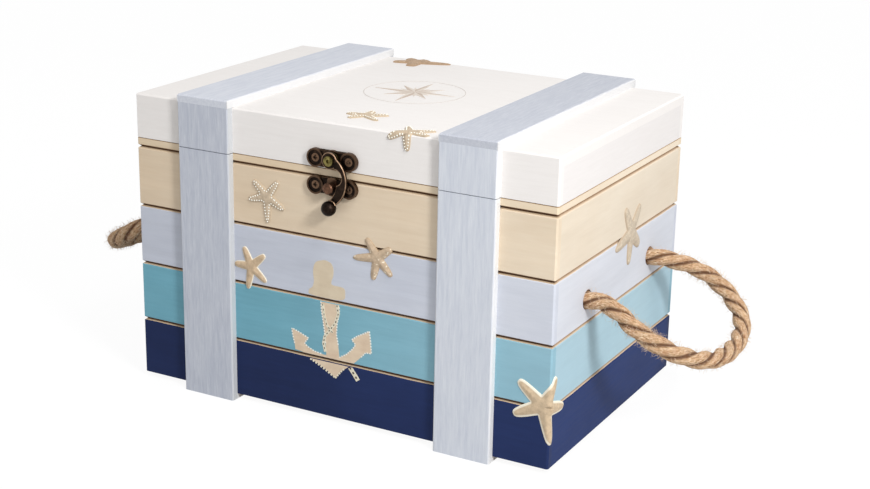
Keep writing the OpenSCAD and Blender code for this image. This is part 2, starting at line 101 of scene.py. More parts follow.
def make_mesh(name, points, faces, material, uvs=None):
    """An object from points in millimetres, with one UV pair for each point if uvs is given."""
    mesh = bpy.data.meshes.new(name)
    mesh.from_pydata([tuple(MM * c for c in p) for p in points], [], faces)
    if uvs is not None:
        layer = mesh.uv_layers.new(name="UVMap")
        corner_points = np.empty(len(mesh.loops), dtype=np.int32)
        mesh.loops.foreach_get("vertex_index", corner_points)
        layer.data.foreach_set("uv", np.asarray(uvs, dtype=np.float32)[corner_points].ravel())
    mesh.polygons.foreach_set("use_smooth", [True] * len(mesh.polygons))
    mesh.update()
    mesh.materials.append(material)
    return add_object(name, mesh)


def grid_faces(rows, columns, first=0, closed=True):
    """Quads between rows of points. Closed joins each row's last point to its first."""
    faces = []
    spans = columns if closed else columns - 1
    for r in range(rows - 1):
        for c in range(spans):
            a = first + r * columns + c
            b = first + r * columns + (c + 1) % columns
            faces.append((a, b, b + columns, a + columns))
    return faces


def unit(rows):
    """Each row's direction, at length 1."""
    return rows / np.linalg.norm(rows, axis=1)[:, None]


def run_along(path):
    """How far along a path each of its points is."""
    return np.concatenate([[0], np.cumsum(np.linalg.norm(np.diff(path, axis=0), axis=1))])


def point_at(mark, run, line):
    """The point that lies a given way along a flat line."""
    return tuple(float(np.interp(mark, run, line[:, k])) for k in (0, 1))


def fix_normals(piece, join=False):
    """Turns the faces outwards. Join makes one point of those that coincide."""
    work = bmesh.new()
    work.from_mesh(piece.data)
    if join:
        bmesh.ops.remove_doubles(work, verts=work.verts, dist=SAME_POINT)
    bmesh.ops.recalc_face_normals(work, faces=work.faces)
    work.to_mesh(piece.data)
    work.free()


# Materials
def linear(r, g, b):
    """A display colour, 0 to 255, as linear light."""
    values = []
    for channel in (r, g, b):
        c = channel / 255
        values.append(c / 12.92 if c <= 0.04045 else ((c + 0.055) / 1.055) ** 2.4)
    return (*values, 1)


def toned(colour, share):
    """A display colour made darker by a share below 1."""
    return tuple(share * c for c in colour)


def for_socket(value):
    """A display colour (r, g, b) as linear light, and anything else as it is."""
    return linear(*value) if isinstance(value, tuple) and len(value) == 3 else value


def set_inputs(node, values):
    """Sets a node's inputs by their names."""
    for name, value in values.items():
        node.inputs[name].default_value = value


class Material:
    """A Principled material whose colour, roughness and bump come from nodes."""

    def __init__(self, name, roughness=0.6, specular=0.4, metallic=0.0, sheen=0.0):
        self.data = bpy.data.materials.new(name)
        self.data.use_nodes = True
        self.tree = self.data.node_tree
        self.shader = self.tree.nodes["Principled BSDF"]
        set_inputs(self.shader, {"Roughness": roughness, "Specular IOR Level": specular,
                                 "Metallic": metallic, "Sheen Weight": sheen})
        self.place = self.tree.nodes.new("ShaderNodeTexCoord").outputs["Object"]

    def put(self, value, socket):
        """Links a socket, or sets a number or colour, on an input."""
        if isinstance(value, bpy.types.NodeSocket):
            self.tree.links.new(value, socket)
        else:
            socket.default_value = for_socket(value)

    def math(self, operation, a, b=0.0, clamp=False):
        node = self.tree.nodes.new("ShaderNodeMath")
        node.operation = operation
        node.use_clamp = clamp
        for value, socket in zip((a, b), node.inputs):
            self.put(value, socket)
        return node.outputs[0]

    def axes(self, vector=None):
        """The X, Y and Z of a vector, in millimetres where it is the object's place."""
        node = self.tree.nodes.new("ShaderNodeSeparateXYZ")
        self.put(self.scaled(1 / MM) if vector is None else vector, node.inputs[0])
        return node.outputs

    def scaled(self, scale):
        """The object's place, scaled along each axis, so that a smaller number stretches a pattern."""
        node = self.tree.nodes.new("ShaderNodeMapping")
        self.put(self.place, node.inputs["Vector"])
        node.inputs["Scale"].default_value = scale if isinstance(scale, tuple) else (scale,) * 3
        return node.outputs[0]

    def noise(self, where, detail, rough=0.55, warp=0.0, scale=1.0):
        """Noise over a vector, or over the object's place scaled by a number or for each axis."""
        node = self.tree.nodes.new("ShaderNodeTexNoise")
        vector = where if isinstance(where, bpy.types.NodeSocket) else self.scaled(where)
        self.put(vector, node.inputs["Vector"])
        set_inputs(node, {"Scale": scale, "Detail": detail, "Roughness": rough, "Distortion": warp})
        return node.outputs[0]

    def ramp(self, factor, stops, steps=False):
        """A colour or grey along a factor. Stops are (place, colour or grey)."""
        node = self.tree.nodes.new("ShaderNodeValToRGB")
        ramp = node.color_ramp
        ramp.interpolation = "CONSTANT" if steps else "LINEAR"
        while len(ramp.elements) < len(stops):
            ramp.elements.new(0.5)
        for element, (place, colour) in zip(ramp.elements, stops):
            element.position = place
            element.color = for_socket(colour) if isinstance(colour, tuple) else (*[colour] * 3, 1)
        self.put(factor, node.inputs[0])
        return node.outputs[0]

    def rise(self, factor, low, high, top=1.0):
        """From 0 where the factor is low to the top value where it is high."""
        return self.ramp(factor, [(low, 0.0), (high, top)])

    def mix(self, factor, a, b, blend="MIX"):
        node = self.tree.nodes.new("ShaderNodeMix")
        node.data_type = "RGBA"
        node.blend_type = blend
        node.clamp_factor = True
        self.put(factor, node.inputs[0])
        self.put(a, node.inputs[6])
        self.put(b, node.inputs[7])
        return node.outputs[2]

    def bump(self, height, depth_mm, strength):
        node = self.tree.nodes.new("ShaderNodeBump")
        set_inputs(node, {"Strength": strength, "Distance": depth_mm * MM})
        self.put(height, node.inputs["Height"])
        return node.outputs[0]

    def finish(self, colour, normal=None, roughness=None):
        self.put(colour, self.shader.inputs["Base Color"])
        if normal is not None:
            self.put(normal, self.shader.inputs["Normal"])
        if roughness is not None:
            self.put(roughness, self.shader.inputs["Roughness"])
        return self.data


ALONG_X = (60, 700, 700)
ALONG_Y = (700, 60, 700)
ALONG_Z = (700, 700, 60)
WOOD_LIGHT = (226, 198, 160)
WOOD_DARK = (196, 158, 116)


def wood_colour(m, grain):
    """Bare basswood: soft streaks along the board, with a slow drift in tone."""
    streaks = m.noise(grain, 5.0, 0.6, 0.4)
    drift = m.noise(14, 2.0)
    tone = m.mix(m.rise(streaks, 0.32, 0.72), WOOD_LIGHT, WOOD_DARK)
    return m.mix(m.math("MULTIPLY", drift, 0.35), tone, WOOD_DARK), streaks


def bare_wood(name, grain):
    m = Material(name, roughness=0.72, specular=0.25)
    colour, streaks = wood_colour(m, grain)
    return m.finish(colour, m.bump(streaks, 0.12, 0.6))


def wall_depth(m, x, y):
    """How far a point lies inside the box's four outer faces."""
    depth_x = m.math("SUBTRACT", HALF_W, m.math("ABSOLUTE", x))
    depth_y = m.math("SUBTRACT", HALF_D, m.math("ABSOLUTE", y))
    return m.math("MINIMUM", depth_x, depth_y)


def plank_paint(name, grain, paints, lip, char):
    """The body's boards: a colour for each plank, lighter towards the right as painted light, scorched
    grooves between them whose upper flanks are darker as painted shade, bare wood inside.
    """
    m = Material(name, roughness=0.55, specular=0.1)
    x, y, z = m.axes()
    depth = wall_depth(m, x, y)

    height = m.math("DIVIDE", m.math("SUBTRACT", z, BODY_Z), SEAM_Z - BODY_Z)
    share = [(groove_z(i) - BODY_Z) / (SEAM_Z - BODY_Z) for i in range(4)]
    plank = m.ramp(height, list(zip([0.0] + share, paints)), steps=True)

    streaks = m.noise(grain, 6.0, 0.62, 0.3)
    broad = m.noise(tuple(0.22 * g for g in grain), 3.0, 0.5)
    cloud = m.noise(18, 3.0)
    plank = m.mix(m.rise(streaks, 0.3, 0.8, 0.26), plank, PALE_STREAK_AND_PAINTED_LIGHT, "SOFT_LIGHT")
    plank = m.mix(m.ramp(broad, [(0.35, 0.16), (0.7, 0.0)]), plank, DARK_STREAK, "MULTIPLY")
    plank = m.mix(m.rise(cloud, 0.4, 0.75, 0.3), plank, PALE_STREAK_AND_PAINTED_LIGHT, "SOFT_LIGHT")

    # Painted light: the paint turns lighter towards the right, and the turquoise plank more so.
    across = m.math("DIVIDE", m.math("ADD", x, HALF_W), 2 * HALF_W)
    painted_light_right = m.rise(across, 0.35, 1.0, 0.4)
    plank = m.mix(painted_light_right, plank, PALE_STREAK_AND_PAINTED_LIGHT, "SOFT_LIGHT")
    in_turquoise = m.ramp(height, [(0.0, 0.0), (share[0], 0.5), (share[1], 0.0)], steps=True)
    plank = m.mix(m.math("MULTIPLY", painted_light_right, in_turquoise), plank, TURQUOISE_PAINTED_LIGHT)

    from_lowest = m.math("SUBTRACT", z, groove_z(0) - GROOVE_PITCH / 2)
    in_pitch = m.math("FLOORED_MODULO", from_lowest, GROOVE_PITCH)
    from_groove = m.math("SUBTRACT", in_pitch, GROOVE_PITCH / 2)
    near_groove = m.math("LESS_THAN", m.math("ABSOLUTE", from_groove), GROOVE_HALF_W + BURN_REACH)
    near_groove = m.math("MULTIPLY", near_groove, m.math("LESS_THAN", depth, GROOVE_DEPTH + BURN_REACH))
    ragged = m.math("ADD", depth, m.math("MULTIPLY", m.math("SUBTRACT", streaks, 0.5), 0.5))
    burn = m.math("DIVIDE", ragged, GROOVE_DEPTH)
    # The groove is scorched brown; its upper flank turns dark sooner than its lower one, as painted
    # shade.
    lower = m.ramp(burn, [(0.3, lip), (0.6, toned(lip, 0.85)), (0.85, char)])
    upper = m.ramp(burn, [(0.25, lip), (0.4, char), (0.9, toned(char, 0.75))])
    burnt_and_shaded = m.mix(m.math("GREATER_THAN", from_groove, 0.0), lower, upper)
    wood, _ = wood_colour(m, grain)
    inside = m.mix(near_groove, wood, burnt_and_shaded)
    skin = m.math("LESS_THAN", ragged, COAT_DEPTH)
    below_top = m.math("LESS_THAN", z, SEAM_Z - RIM_BARE)
    painted = m.math("MULTIPLY", skin, below_top)
    colour = m.mix(painted, inside, plank)
    rough = m.mix(painted, BARE_ROUGHNESS, m.ramp(streaks, [(0.2, 0.48), (0.8, 0.62)]))
    normal = m.bump(streaks, 0.1, 0.5)
    return m.finish(colour, normal, rough)


# The planks' paints from the bottom up: navy, turquoise, sky, beige, and the tan strip at the top
FRONT_PAINTS = [(29, 41, 78), (110, 165, 183), (192, 197, 210), (220, 199, 172), (222, 200, 170)]
# The sides' turquoise and sky are lighter than the front's, as painted light.
SIDE_PAINTS = [(25, 41, 84), (143, 184, 199), (200, 204, 214), (216, 200, 178), (226, 206, 180)]
BURN_REACH = 0.3
COAT_DEPTH = 0.48
LID_COAT_DEPTH = 0.9
RIM_BARE = 0.05
BARE_ROUGHNESS = (0.75, 0.75, 0.75, 1)
# A pale tone for the paint's streaks, also laid on as painted light towards the right; and the turquoise
# plank's painted light.
PALE_STREAK_AND_PAINTED_LIGHT = (240, 240, 240)
TURQUOISE_PAINTED_LIGHT = (206, 204, 214)
DARK_STREAK = (196, 192, 188)


def lid_paint(name, grain, white=(239, 235, 232), grey=(226, 221, 217)):
    """Thin white paint: a little grain shows through, and the inner faces are bare."""
    m = Material(name, roughness=0.5, specular=0.2)
    x, y, z = m.axes()
    streaks = m.noise(grain, 6.0, 0.6, 0.3)
    cloud = m.noise(16, 3.0)
    paint = m.mix(m.rise(streaks, 0.35, 0.8, 0.35), white, grey)
    paint = m.mix(m.rise(cloud, 0.42, 0.8, 0.22), paint, grey)
    depth = m.math("MINIMUM", wall_depth(m, x, y), m.math("SUBTRACT", LID_TOP, z))
    wood, _ = wood_colour(m, grain)
    colour = m.mix(m.math("LESS_THAN", depth, LID_COAT_DEPTH), wood, paint)
    return m.finish(colour, m.bump(streaks, 0.08, 0.45))


WORN_AND_LIT_RAGGED = 1.6
WORN_AND_LIT_W = 2.0


def strap_paint(name, grain, dark=(180, 185, 198), light=(200, 204, 213), thin=(232, 231, 230)):
    """Blue-grey paint dragged along the strap, with an edge colour on its long edges and side faces:
    paint gone thin there, and painted light as well, a pale colour as a painted highlight and a darker
    one as painted shade.
    """
    m = Material(name, roughness=0.55, specular=0.15)
    x = m.axes()[0]
    brush = m.noise(grain, 6.0, 0.65, 0.2)
    fine = m.noise(tuple(2.4 * g for g in grain), 3.0, 0.6)
    paint = m.mix(m.rise(brush, 0.32, 0.72), dark, light)
    paint = m.mix(m.rise(fine, 0.5, 0.78, 0.4), paint, (222, 225, 232))
    # The edge colour covers the long edges and side faces: thin paint, and painted light on the side
    # faces.
    from_middle = m.math("ABSOLUTE", m.math("SUBTRACT", m.math("ABSOLUTE", x), STRAP_X))
    edge = m.math("SUBTRACT", STRAP_W / 2, from_middle)
    worn_and_lit = m.math("ADD", edge, m.math("MULTIPLY", m.math("SUBTRACT", fine, 0.5), WORN_AND_LIT_RAGGED))
    paint = m.mix(m.ramp(m.math("DIVIDE", worn_and_lit, WORN_AND_LIT_W), [(0.05, 0.85), (0.4, 0.0)]), paint, thin)
    return m.finish(paint, m.bump(brush, 0.1, 0.6), m.ramp(brush, [(0.3, 0.5), (0.8, 0.65)]))


def bronze(name, copper_share=0.5):
    """Antique bronze: near black in the hollows and on the flats, copper in patches and on the edges,
    where handling has bared it, and on the edges also as a painted highlight.
    """
    m = Material(name, roughness=0.42, metallic=1.0, specular=0.5)
    cloud = m.noise(300, 5.0, 0.6)
    fine = m.noise(1500, 3.0, 0.6)
    geometry = m.tree.nodes.new("ShaderNodeNewGeometry")
    # Copper on the edges: bared metal, and a painted highlight too.
    edges = m.rise(geometry.outputs["Pointiness"], 0.515, 0.6)
    edge_wear_and_highlight = m.math("MULTIPLY", edges, copper_share, clamp=True)
    patches = m.math("MULTIPLY", m.rise(cloud, 0.52, 0.7), copper_share * 0.3)
    base = m.mix(m.rise(fine, 0.35, 0.7), (22, 17, 15), (42, 33, 28))
    base = m.mix(m.math("MAXIMUM", edge_wear_and_highlight, patches), base, (150, 118, 94))
    return m.finish(base, m.bump(fine, 0.05, 0.5), m.ramp(cloud, [(0.3, 0.5), (0.7, 0.3)]))


def brass(name, light, dark):
    """Old brass: a dull metal that is darker in patches."""
    m = Material(name, roughness=0.4, metallic=1.0, specular=0.5)
    cloud = m.noise(500, 5.0, 0.6)
    colour = m.mix(m.rise(cloud, 0.35, 0.7), light, dark)
    return m.finish(colour, m.bump(cloud, 0.04, 0.4), m.ramp(cloud, [(0.3, 0.34), (0.7, 0.5)]))


def rope_fibre(name):
    """Jute: tan fibres that run along each strand, darker where the strands meet as painted shade. U
    runs round a strand from its hidden side, and V along it in strand widths."""
    m = Material(name, roughness=0.85, specular=0.2, sheen=0.05)
    uv = m.tree.nodes.new("ShaderNodeTexCoord").outputs["UV"]
    u, v, _ = m.axes(uv)
    along = m.math("SUBTRACT", u, m.math("MULTIPLY", v, 0.1))
    joined = m.tree.nodes.new("ShaderNodeCombineXYZ")
    m.put(m.math("MULTIPLY", along, 26.0), joined.inputs[0])
    m.put(m.math("MULTIPLY", v, 2.2), joined.inputs[1])
    fibres = m.noise(joined.outputs[0], 6.0, 0.75, 0.9)
    patches = m.noise(uv, 3.0, 0.6, scale=1.7)
    colour = m.ramp(fibres, [(0.34, (112, 68, 38)), (0.44, (200, 156, 114)),
                             (0.55, (238, 204, 166)), (0.66, (255, 244, 220))])
    colour = m.mix(m.ramp(patches, [(0.35, 0.42), (0.55, 0.0)]), colour, (186, 126, 90))
    # Painted shade in the creases where the strands meet.
    hidden = m.math("MULTIPLY", m.math("ABSOLUTE", m.math("SUBTRACT", u, 0.5)), 2.0)
    colour = m.mix(m.rise(hidden, 0.3, 0.44, 0.85), colour, (104, 66, 42))
    return m.finish(colour, m.bump(fibres, 1.0, 1.0))


def plain_finish(name, scale, dark, light, roughness, specular):
    """One colour that drifts a little."""
    m = Material(name, roughness, specular)
    return m.finish(m.mix(m.noise(scale, 2.0), dark, light))


def star_skin(name, tan, rim, speckle, rim_reach, spot_scale=1300):
    """A starfish's skin. U is the distance from the outline, from 0 at the rim to 1 on the ridge."""
    m = Material(name, roughness=0.6, specular=0.35)
    uv = m.tree.nodes.new("ShaderNodeTexCoord").outputs["UV"]
    u = m.axes(uv)[0]
    spots = m.noise(spot_scale, 2.0, 0.5)
    mottle = m.noise(420, 4.0, 0.6)
    body = m.mix(m.rise(mottle, 0.35, 0.7), tan, toned(tan, 0.86))
    body = m.mix(m.rise(spots, 0.6, 0.68, speckle), body, (246, 236, 214))
    body = m.mix(m.ramp(u, [(0.0, 1.0), (rim_reach, 0.75), (rim_reach + 0.12, 0.0)]), body, rim)
    return m.finish(body, m.bump(mottle, 0.25, 0.6))


def print_ink(name, light, dark, scale=160):
    """Thin printed colour, slightly uneven, with the board's grain in it."""
    m = Material(name, roughness=0.6, specular=0.3)
    wash = m.noise(scale, 4.0, 0.6)
    grain = m.noise(ALONG_X, 5.0, 0.6)
    colour = m.mix(m.rise(wash, 0.35, 0.7), light, dark)
    colour = m.mix(m.rise(grain, 0.45, 0.8, 0.3), colour, toned(dark, 0.9))
    return m.finish(colour, m.bump(grain, 0.08, 0.5))


def paint_node(material, *nodes):
    """Gives CAD nodes their finish."""
    for name in nodes:
        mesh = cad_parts[name].data
        mesh.materials.clear()
        mesh.materials.append(material)


PLANKS_X = plank_paint("planks_front_back", ALONG_X, FRONT_PAINTS, (226, 200, 168), (112, 80, 56))
PLANKS_Y = plank_paint("planks_sides", ALONG_Y, SIDE_PAINTS, (232, 208, 180), (176, 142, 112))
LID_X = lid_paint("lid_white_along", ALONG_X)
# The left and right rails take a darker white than the panel and the front and back rails, as painted
# shade.
LID_Y = lid_paint("lid_white_across", ALONG_Y, (232, 228, 226), (220, 215, 212))
# Copies of one strap paint with painted light in them: the right uprights are lighter than the left, the
# level straps lighter than the uprights as a painted sheen, the right level straps darker again as
# painted shade, and the left uprights take a darker edge colour as painted shade on their side faces.
STRAP_UP = strap_paint("strap_blue_upright", ALONG_Z, thin=(203, 205, 206))
STRAP_PALE = strap_paint("strap_blue_pale", ALONG_Z, (198, 203, 214), (216, 220, 227))
STRAP_FLAT = strap_paint("strap_blue_flat", ALONG_Y, (198, 202, 213), (216, 219, 226))
STRAP_FLAT_SHADED = strap_paint("strap_blue_flat_shaded", ALONG_Y, (182, 186, 197), (198, 201, 209))
WOOD_X = bare_wood("wood_bare", ALONG_X)
BRONZE = bronze("bronze_antique", 0.4)
BRONZE_HOOK = bronze("bronze_hook", 0.25)
SCREWS = bronze("bronze_screws", 0.6)
RIVET_BRASS = brass("rivet_brass", (150, 138, 84), (72, 64, 36))
PIN_COPPER = brass("pin_copper", (118, 86, 68), (54, 40, 33))
# A light copper for the hook's bevelled edges: a painted highlight.
EDGE_PAINTED_HIGHLIGHT = brass("bronze_edge_painted_highlight", (172, 142, 116), (104, 82, 66))
HINGE_BRASS = brass("hinge_brass", (150, 120, 72), (84, 64, 42))

paint_node(PLANKS_X, "front_wall", "back_wall")
paint_node(PLANKS_Y, "left_wall", "right_wall")
paint_node(WOOD_X, "bottom_panel")
paint_node(LID_X, "lid_panel", "lid_front_rail", "lid_back_rail")
paint_node(LID_Y, "lid_left_rail", "lid_right_rail")
for side, upright, level in (("left", STRAP_UP, STRAP_FLAT), ("right", STRAP_PALE, STRAP_FLAT_SHADED)):
    paint_node(upright, f"front_strap_{side}", f"back_strap_{side}",
               f"lid_front_strap_{side}", f"lid_back_strap_{side}")
    paint_node(level, f"lid_top_strap_{side}", f"foot_runner_{side}")
    paint_node(HINGE_BRASS, f"hinge_leaf_base_{side}", f"hinge_leaf_lid_{side}")
paint_node(HINGE_BRASS, "hinge_pins", "hinge_screws_base", "hinge_screws_lid")
paint_node(BRONZE, "hook_plate", "catch_plate")
paint_node(BRONZE_HOOK, "latch_hook")
paint_node(SCREWS, "hook_plate_screws", "catch_screws")
paint_node(RIVET_BRASS, "hook_rivet")
paint_node(PIN_COPPER, "catch_pin")

# Each softened node's edge: its width and its finish. The hook's edges take a light copper as a painted
# highlight.
SOFT_EDGES = {
    "latch_hook": (0.45, EDGE_PAINTED_HIGHLIGHT),
    "catch_pin": (0.35, PIN_COPPER),
}
JOINED_WITHIN = 0.01
EDGE_SEGMENTS = 3
EDGE_ANGLE = math.radians(40)
for name, (width, finish) in SOFT_EDGES.items():
    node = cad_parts[name]
    node.data.materials.append(finish)
    joined = node.modifiers.new("joined_faces", "WELD")
    joined.merge_threshold = JOINED_WITHIN * MM
    rounding = node.modifiers.new("soft_edges", "BEVEL")
    rounding.width = width * MM
    rounding.segments = EDGE_SEGMENTS
    rounding.limit_method = "ANGLE"
    rounding.angle_limit = EDGE_ANGLE
    rounding.material = 1
    rounding.use_clamp_overlap = False


WEB_T = 1.45
WEB_STEPS = 12
# The rings of a web's edge, from the wall outwards: (inset from the outline, height above the wall)
WEB_RINGS = [(0, 0), (0, WEB_T - 0.3), (0.1, WEB_T - 0.1), (0.35, WEB_T)]
DOME_H = 1.1
DOME_SINK = 0.05
DOME_INSET = 0.15


def latch_web(name, plate, share, body):
    """The plate's flat middle between its two screws, with softened edges."""
    low, high = plate
    middle_z = (low[2] + high[2]) / 2
    end_r = (high[2] - low[2]) / 2
    half_l = high[0] - end_r
    half_h = share * end_r
    points = []
    for inset, proud in WEB_RINGS:
        for up in (1, -1):
            for u in np.linspace(-up * half_l, up * half_l, WEB_STEPS):
                points.append((u, -HALF_D - proud, middle_z + up * (half_h - inset)))
    columns = 2 * WEB_STEPS
    faces = grid_faces(len(WEB_RINGS), columns)
    top = len(points) - columns
    faces += [(top + k, top + k + 1, top + columns - 2 - k, top + columns - 1 - k)
              for k in range(WEB_STEPS - 1)]
    web = make_mesh(name, points, faces, BRONZE)
    fix_normals(web)
    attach(web, body)


def pin_dome():
    """The catch pin's rounded head."""
    low, high = (np.array(corner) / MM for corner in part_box("catch_pin"))
    middle_z = (low[2] + high[2]) / 2
    front = low[1] + DOME_SINK
    radius = high[0] - DOME_INSET
    rings, sides = 7, 28
    points = []
    for r in range(rings):
        tilt = math.pi / 2 * r / rings
        for k in range(sides):
            a = 2 * math.pi * k / sides
            points.append((radius * math.cos(tilt) * math.cos(a), front - DOME_H * math.sin(tilt),
                           middle_z + radius * math.cos(tilt) * math.sin(a)))
    tip = len(points)
    points.append((0, front - DOME_H, middle_z))
    faces = grid_faces(rings, sides)
    faces += [(tip - sides + k, tip - sides + (k + 1) % sides, tip) for k in range(sides)]
    head = make_mesh("catch_pin_dome", points, faces, PIN_COPPER)
    fix_normals(head)
    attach(head, "base")


pin_dome()
latch_web("hook_plate_web", HOOK_PLATE, 0.94, "lid")
latch_web("catch_plate_web", CATCH_PLATE, 0.72, "base")


# Ropes
STRANDS = 3
STRAND_R = 2.55
STRAND_OUT = ROPE_D / 2 - STRAND_R
LAY_LENGTH = 38
STRAND_SIDES = 18
RING_STEP = 0.9
SPAN_STEPS = 24
SWELL = 0.16
SWELL_RUN = 9
END_SHARE = 0.45
END_GROWTH = 0.3
YARNS = 5
YARN_DEPTH = 0.05
YARN_TURN = 2.2
SIDES = (("left", -1), ("right", 1))


def smooth_path(points, step=RING_STEP):
    """Points a step apart on a smooth curve through the given ones."""
    given = np.array(points, dtype=float)
    ends = np.vstack([2 * given[0] - given[1], given, 2 * given[-1] - given[-2]])
    fine = []
    for i in range(1, len(ends) - 2):
        a, b, c, d = ends[i - 1:i + 3]
        for t in np.linspace(0, 1, SPAN_STEPS, endpoint=False):
            fine.append(0.5 * (2 * b + (c - a) * t + (2 * a - 5 * b + 4 * c - d) * t * t
                               + (3 * b - a - 3 * c + d) * t ** 3))
    fine.append(ends[-2])
    fine = np.array(fine)
    run = run_along(fine)
    count = max(2, int(round(run[-1] / step)) + 1)
    marks = np.linspace(0, run[-1], count)
    return np.column_stack([np.interp(marks, run, fine[:, k]) for k in range(3)])


def path_frames(path):
    """For each point of a path that starts level, two directions across it that don't twist."""
    tangents = unit(np.gradient(path, axis=0))
    across = np.cross(tangents[0], (0.0, 0.0, 1.0))
    firsts = []
    for tangent in tangents:
        across = across - tangent * np.dot(across, tangent)
        across = across / np.linalg.norm(across)
        firsts.append(across)
    firsts = np.array(firsts)
    return firsts, np.cross(tangents, firsts)


def rope_mesh(name, path, seed, strand_r=STRAND_R, strand_out=STRAND_OUT, lay=LAY_LENGTH):
    """A three-strand laid rope along a path, as one mesh with closed ends."""
    rng = np.random.default_rng(seed)
    first, second = path_frames(path)
    run = run_along(path)
    count = len(path)
    points, faces, uvs = [], [], []
    for strand in range(STRANDS):
        bumps = rng.normal(0, 1, count + SWELL_RUN - 1)
        swell = np.convolve(bumps, np.ones(SWELL_RUN) / SWELL_RUN, mode="valid") * SWELL
        turn = -2 * math.pi * (run / lay + strand / STRANDS)
        outward = first * np.cos(turn)[:, None] + second * np.sin(turn)[:, None]
        centre = path + outward * strand_out
        tangent = unit(np.gradient(centre, axis=0))
        out = unit(outward - tangent * (outward * tangent).sum(axis=1)[:, None])
        beside = np.cross(tangent, out)
        start = len(points)
        columns = STRAND_SIDES + 1
        for i in range(count):
            closing = min(1.0, END_SHARE + min(i, count - 1 - i) * END_GROWTH)
            radius = (strand_r + swell[i]) * closing
            for k in range(columns):
                around = k / STRAND_SIDES
                angle = math.pi + 2 * math.pi * around
                yarn = 1 + YARN_DEPTH * math.cos(YARNS * angle - YARN_TURN * run[i] / strand_r)
                reach = radius * yarn
                away = out[i] * math.cos(angle) + beside[i] * math.sin(angle)
                points.append(centre[i] + reach * away)
                uvs.append((around, run[i] / (2 * strand_r)))
        faces += grid_faces(count, columns, start, closed=False)
        for ring in (0, count - 1):
            base = start + ring * columns
            cap = len(points)
            points.append(centre[ring])
            uvs.append((0.5, run[ring] / (2 * strand_r)))
            for k in range(STRAND_SIDES):
                a, b = base + k, base + k + 1
                faces.append((a, cap, b) if ring == 0 else (a, b, cap))
    return make_mesh(name, points, faces, ROPE, uvs)


ROPE = rope_fibre("rope_jute")
FUZZ = plain_finish("rope_fuzz", 900, (214, 180, 146), (242, 224, 200), 0.8, 0.2)
FUZZ_COUNT = 1300
FUZZ_REACH = (1.4, 5.0)
FUZZ_R = (0.06, 0.12)
FUZZ_LEAN = 1.6
FUZZ_SWAY = 0.9
FUZZ_BENDS = 4
FUZZY_PLACES = (0.2, 0.8)


def fuzz_mesh(name, path, seed):
    """Loose fibres that stand off a rope, each a thin three-sided thread."""
    rng = np.random.default_rng(seed)
    first, second = path_frames(path)
    tangents = unit(np.gradient(path, axis=0))
    points, faces = [], []
    for _ in range(FUZZ_COUNT):
        share = rng.choice(FUZZY_PLACES) + rng.normal(0, 0.05) if rng.random() < 0.4 else rng.random()
        i = int(np.clip(share * len(path), 4, len(path) - 4))
        angle = rng.uniform(0, 2 * math.pi)
        out = first[i] * math.cos(angle) + second[i] * math.sin(angle)
        side = np.cross(tangents[i], out)
        length = rng.uniform(*FUZZ_REACH)
        lean = rng.uniform(-FUZZ_LEAN, FUZZ_LEAN)
        sway = rng.uniform(-FUZZ_SWAY, FUZZ_SWAY)
        thick = rng.uniform(*FUZZ_R)
        start = len(points)
        for b in range(FUZZ_BENDS + 1):
            t = b / FUZZ_BENDS
            lift = 0.55 * length * math.sin(t * math.pi * rng.uniform(0.45, 0.62))
            spot = path[i] + out * (ROPE_D / 2 - 0.35 + lift) + tangents[i] * lean * length * t * 0.6
            spot = spot + side * sway * length * t * t
            width = thick * (1 - 0.75 * t)
            for k in range(3):
                a = 2 * math.pi * k / 3
                points.append(spot + width * (side * math.cos(a) + tangents[i] * math.sin(a)))
        faces += grid_faces(FUZZ_BENDS + 1, 3, start)
    return make_mesh(name, points, faces, FUZZ)


# Half a handle's route, from its hole to the loop's middle: (out from the wall, across, height)
HANDLE_ROUTE = [
    (5.3, 40, 0), (12, 41.2, -0.6), (18.5, 44.2, -2.4), (25, 47, -5.2), (31.5, 48.3, -8.6),
    (38, 47.3, -12.2), (44.2, 44.3, -15.8), (49.8, 39.3, -19.2), (54.2, 32.8, -22.1),
    (57.3, 25.2, -24.4), (59.2, 16.9, -26), (60.1, 8.4, -27), (60.4, 0, -27.3),
]
START_INSIDE = 4.5


def handle_path(sign):
    """The rope's middle line from inside the front hole, round the loop, to inside the back hole."""
    front = [(-START_INSIDE, -HOLE_Y, 0), (0, -HOLE_Y, 0)] + [(o, -a, h) for o, a, h in HANDLE_ROUTE]
    back = [(o, -a, h) for o, a, h in reversed(front[:-1])]
    return smooth_path([(sign * (HALF_W + o), a, HOLE_Z + h) for o, a, h in front + back])


for side, sign in SIDES:
    path = handle_path(sign)
    rope = rope_mesh(f"handle_rope_{side}", path, seed=11 + sign)
    fuzz = fuzz_mesh(f"handle_fuzz_{side}", path, seed=5 + sign)
    for piece in (rope, fuzz):
        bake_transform(piece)
    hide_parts(f"rope_handle_{side}")


# Knots inside the box
KNOT_IN = 13
KNOT_R = 1.95
KNOT_DEPTH = 3.6
KNOT_STEP = 1.0
LEAD_IN = 1.5


def knot_path(sign, y):
    """An overhand knot drawn up against the inside of the wall, with a short tail."""
    middle = np.array([sign * (HALF_W - WALL - KNOT_IN), y, HOLE_Z])
    turns = []
    for t in np.linspace(0.12, 2 * math.pi - 0.42, 26):
        across = (math.sin(t) + 2 * math.sin(2 * t)) * KNOT_R
        up = (math.cos(t) - 2 * math.cos(2 * t)) * KNOT_R
        through = math.sin(3 * t) * KNOT_DEPTH
        turns.append(middle + np.array([sign * through, across, up]))
    lead = [np.array([sign * (HALF_W - depth - LEAD_IN), y, HOLE_Z]) for depth in (START_INSIDE, WALL)]
    last = turns[-1]
    tail = [last + np.array([-sign * 5, -2, -3]), last + np.array([-sign * 9, -3, -9])]
    return smooth_path(lead + turns[2:] + tail, KNOT_STEP)


